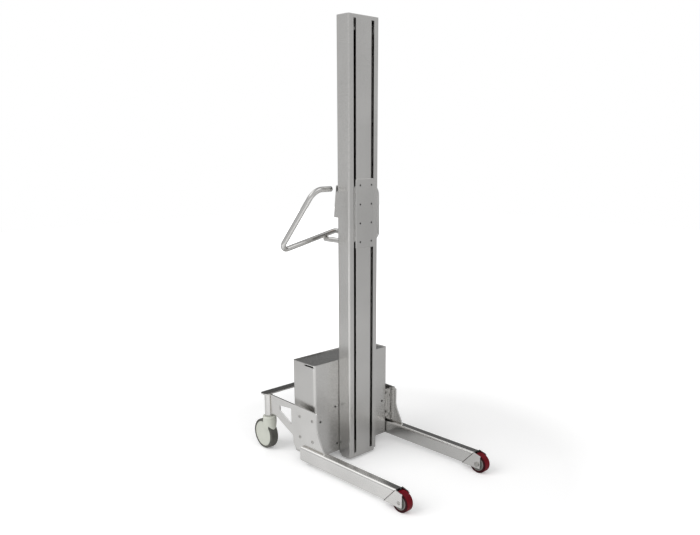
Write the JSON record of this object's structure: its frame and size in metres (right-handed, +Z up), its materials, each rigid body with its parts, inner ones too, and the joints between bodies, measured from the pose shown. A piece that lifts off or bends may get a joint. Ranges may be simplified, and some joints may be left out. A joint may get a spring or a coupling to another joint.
{
  "type": "powered lifting trolley",
  "caption": "Stainless battery lifting trolley: mast with a motor-driven tool plate, low legs with load rollers, swivel castors and a push handle.",
  "frame": {"origin": "on the floor, under the middle of the trolley's length and width", "axes": "+X across the trolley to the operator's right, -Y towards the load rollers, +Z up the mast"},
  "size_m": [0.5128, 0.8705, 1.659],
  "materials": {
    "stainless_sheet": "glass-bead blasted stainless steel sheet",
    "stainless_satin": "satin polished stainless steel tube and plate",
    "zinc_steel": "bright zinc-plated steel",
    "chain_steel": "oiled dark steel",
    "motor_case": "fine sand-cast, dark",
    "battery_case": "moulded, fine texture",
    "black_plastic": "moulded, fine texture",
    "roller_nylon": "turned nylon",
    "castor_plastic": "moulded pale grey nylon",
    "hub_plastic": "moulded grey nylon",
    "castor_tyre": "non-marking grey rubber",
    "crimson_tread": "cast crimson polyurethane",
    "controls_box": "glass-bead blasted stainless steel sheet",
    "green_button": "moulded",
    "blue_button": "moulded",
    "red_button": "moulded"
  },
  "bodies": {
    "chassis": {"mast_shell": "stainless_sheet", "mast_cover_strip": "stainless_sheet", "mast_top_cap": "stainless_sheet", "mast_foot": "stainless_sheet", "guide_rail_left": "stainless_satin", "guide_rail_right": "stainless_satin", "idler_axle": "stainless_satin", "lifting_chain": "chain_steel", "gear_motor": "motor_case", "housing_shell": "stainless_sheet", "housing_lid": "stainless_sheet", "batteries": "battery_case", "motor_controller": "black_plastic", "charging_inlet": "black_plastic", "hanger_brackets": "stainless_satin", "side_plate_left": "stainless_satin", "side_plate_right": "stainless_satin", "leg_tube_left": "stainless_satin", "leg_tube_right": "stainless_satin", "nose_plates_left": "stainless_satin", "nose_plates_right": "stainless_satin", "load_roller_axles": "zinc_steel", "rear_crossbar": "stainless_satin", "stem_tube_left": "stainless_satin", "stem_tube_right": "stainless_satin", "castor_fitting_left": "zinc_steel", "castor_fitting_right": "zinc_steel", "chassis_bolts": "zinc_steel", "mast_bolts": "zinc_steel", "housing_screws": "zinc_steel", "handle_tube": "stainless_satin", "handle_plugs": "black_plastic", "handle_bracket": "stainless_satin", "control_box": "controls_box"},
    "carriage": {"tool_plate": "stainless_satin", "carriage_truck": "stainless_satin", "carriage_roller_washers": "zinc_steel", "chain_anchor": "stainless_satin"},
    "guide_roller_ul": {"guide_roller_upper_left": "roller_nylon"},
    "guide_roller_ur": {"guide_roller_upper_right": "roller_nylon"},
    "guide_roller_ll": {"guide_roller_lower_left": "roller_nylon"},
    "guide_roller_lr": {"guide_roller_lower_right": "roller_nylon"},
    "drive": {"drive_sprocket": "chain_steel", "drive_shaft": "zinc_steel"},
    "idler": {"idler_sprocket": "chain_steel"},
    "load_roller_l": {"load_roller_tread_left": "crimson_tread", "load_roller_hub_left": "hub_plastic"},
    "load_roller_r": {"load_roller_tread_right": "crimson_tread", "load_roller_hub_right": "hub_plastic"},
    "castor_l": {"castor_housing_left": "castor_plastic", "castor_axle_left": "zinc_steel"},
    "castor_r": {"castor_housing_right": "castor_plastic", "castor_axle_right": "zinc_steel"},
    "castor_wheel_l": {"castor_tyre_left": "castor_tyre", "castor_hub_left": "hub_plastic"},
    "castor_wheel_r": {"castor_tyre_right": "castor_tyre", "castor_hub_right": "hub_plastic"},
    "lift_button": {"lift_button": "green_button"},
    "lower_button": {"lower_button": "blue_button"},
    "stop_button": {"stop_button": "red_button"}
  },
  "joints": [
    {"name": "lift", "type": "slide", "parent": "chassis", "child": "carriage", "axis": [0, 0, 1], "range_m": [-0.762, 0.4826]},
    {"name": "drive_spin", "type": "hinge", "parent": "chassis", "child": "drive", "pos_m": [0, 0.0473, 0.097], "axis": [0, 1, 0], "range_deg": [-1560, 990]},
    {"name": "idler_spin", "type": "hinge", "parent": "chassis", "child": "idler", "pos_m": [0, 0.0473, 1.5829], "axis": [0, 1, 0], "range_deg": [-1560, 990]},
    {"name": "guide_spin_ul", "type": "hinge", "parent": "carriage", "child": "guide_roller_ul", "pos_m": [-0.056, 0.0508, 1.0615], "axis": [1, 0, 0], "range_deg": [-1714, 1091]},
    {"name": "guide_spin_ur", "type": "hinge", "parent": "carriage", "child": "guide_roller_ur", "pos_m": [0.056, 0.0508, 1.0615], "axis": [1, 0, 0], "range_deg": [-1714, 1091]},
    {"name": "guide_spin_ll", "type": "hinge", "parent": "carriage", "child": "guide_roller_ll", "pos_m": [-0.056, 0.0508, 0.8945], "axis": [1, 0, 0], "range_deg": [-1091, 1714]},
    {"name": "guide_spin_lr", "type": "hinge", "parent": "carriage", "child": "guide_roller_lr", "pos_m": [0.056, 0.0508, 0.8945], "axis": [1, 0, 0], "range_deg": [-1091, 1714]},
    {"name": "load_roller_spin_l", "type": "hinge", "parent": "chassis", "child": "load_roller_l", "pos_m": [-0.222, -0.3977, 0.0375], "axis": [1, 0, 0], "continuous": true},
    {"name": "load_roller_spin_r", "type": "hinge", "parent": "chassis", "child": "load_roller_r", "pos_m": [0.222, -0.3977, 0.0375], "axis": [1, 0, 0], "continuous": true},
    {"name": "castor_swivel_l", "type": "hinge", "parent": "chassis", "child": "castor_l", "pos_m": [-0.222, 0.3473, 0.13], "axis": [0, 0, 1], "continuous": true},
    {"name": "castor_wheel_spin_l", "type": "hinge", "parent": "castor_l", "child": "castor_wheel_l", "pos_m": [-0.22069, 0.37227, 0.0625], "axis": [0.9986, -0.0523, 0], "continuous": true},
    {"name": "castor_swivel_r", "type": "hinge", "parent": "chassis", "child": "castor_r", "pos_m": [0.222, 0.3473, 0.13], "axis": [0, 0, 1], "continuous": true},
    {"name": "castor_wheel_spin_r", "type": "hinge", "parent": "castor_r", "child": "castor_wheel_r", "pos_m": [0.22069, 0.37227, 0.0625], "axis": [0.9986, 0.0523, 0], "continuous": true},
    {"name": "lift_button_press", "type": "slide", "parent": "chassis", "child": "lift_button", "axis": [0, -0.9935, -0.1137], "range_m": [0, 0.0025], "stiffness_N_per_m": 400, "springref_m": -0.001},
    {"name": "lower_button_press", "type": "slide", "parent": "chassis", "child": "lower_button", "axis": [0, -0.9935, -0.1137], "range_m": [0, 0.0025], "stiffness_N_per_m": 400, "springref_m": -0.001},
    {"name": "stop_button_press", "type": "slide", "parent": "chassis", "child": "stop_button", "axis": [0, -0.9935, -0.1137], "range_m": [0, 0.004], "stiffness_N_per_m": 600, "springref_m": -0.001}
  ],
  "couplings": [
    {"joint": "drive_spin", "follows": "lift", "rad_per_m": 35.339},
    {"joint": "idler_spin", "follows": "lift", "rad_per_m": 35.339},
    {"joint": "guide_spin_ul", "follows": "lift", "rad_per_m": 38.91},
    {"joint": "guide_spin_ur", "follows": "lift", "rad_per_m": 38.91},
    {"joint": "guide_spin_ll", "follows": "lift", "rad_per_m": -38.91},
    {"joint": "guide_spin_lr", "follows": "lift", "rad_per_m": -38.91}
  ]
}
